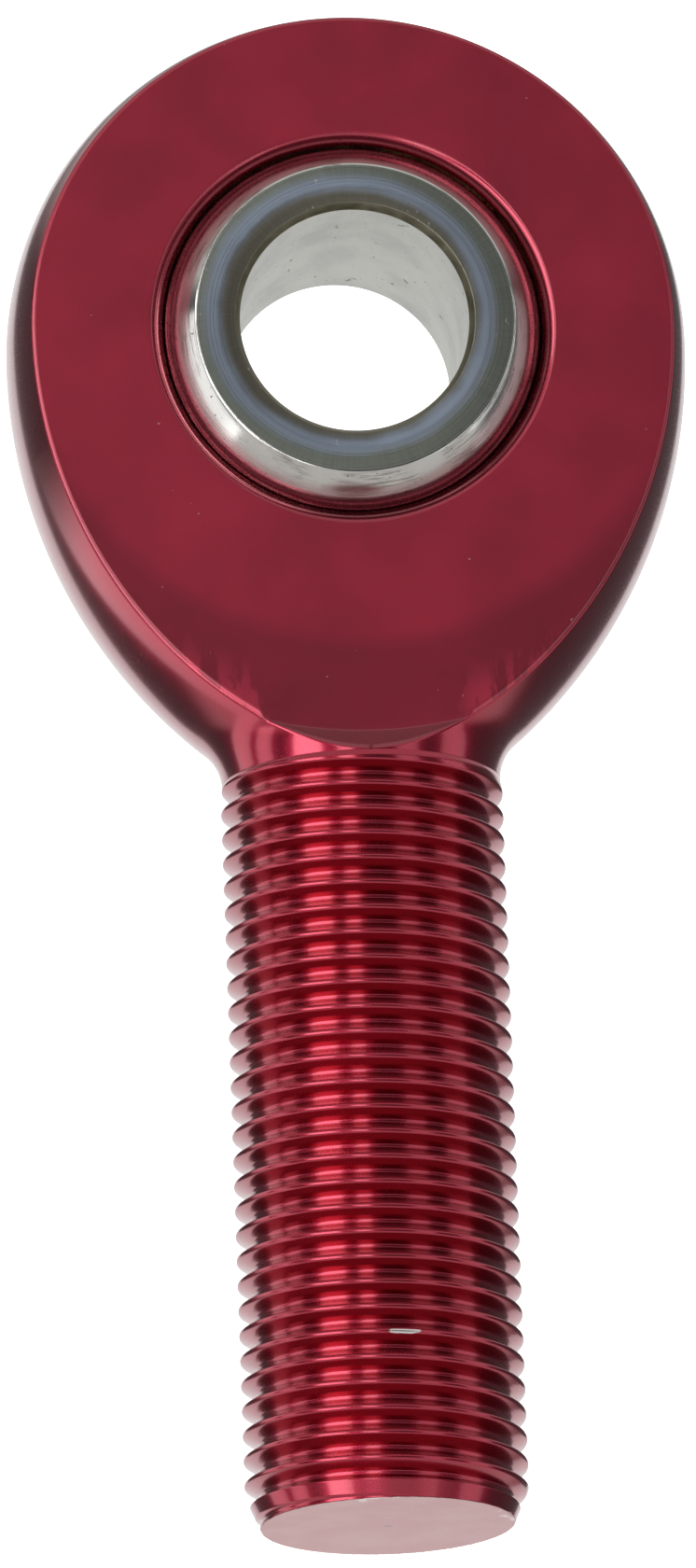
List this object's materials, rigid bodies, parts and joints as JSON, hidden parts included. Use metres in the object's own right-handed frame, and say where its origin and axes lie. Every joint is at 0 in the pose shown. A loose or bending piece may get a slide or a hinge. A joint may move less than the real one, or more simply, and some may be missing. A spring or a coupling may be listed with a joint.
{
  "type": "rod end bearing",
  "caption": "Male rod end bearing: a turned eye with a threaded shank holds a bored ball that swivels and tilts between race inserts.",
  "frame": {"origin": "centre of the ball, on the axis of its bore", "axes": "+Z along the ball's bore, -Y along the threaded shank away from the eye, +X across the eye"},
  "size_m": [0.0378, 0.0856, 0.0158],
  "materials": {
    "anodised_body": "turned aluminium with a red dyed anodised coat, satin on the flats and glossy elsewhere",
    "race_bronze": "machined bronze",
    "ball_steel": "hard bearing steel, polished sphere and finely ground faces"
  },
  "bodies": {
    "housing": {"rod_end_body": "anodised_body"},
    "race": {"race_insert_front": "race_bronze", "race_insert_rear": "race_bronze"},
    "ball": {"ball": "ball_steel"}
  },
  "joints": [
    {"name": "ball_swivel", "type": "hinge", "parent": "housing", "child": "race", "pos_m": [0, 0, 0], "axis": [0, 0, 1], "continuous": true},
    {"name": "ball_tilt", "type": "hinge", "parent": "race", "child": "ball", "pos_m": [0, 0, 0], "axis": [1, 0, 0], "range_deg": [-12, 12]}
  ]
}
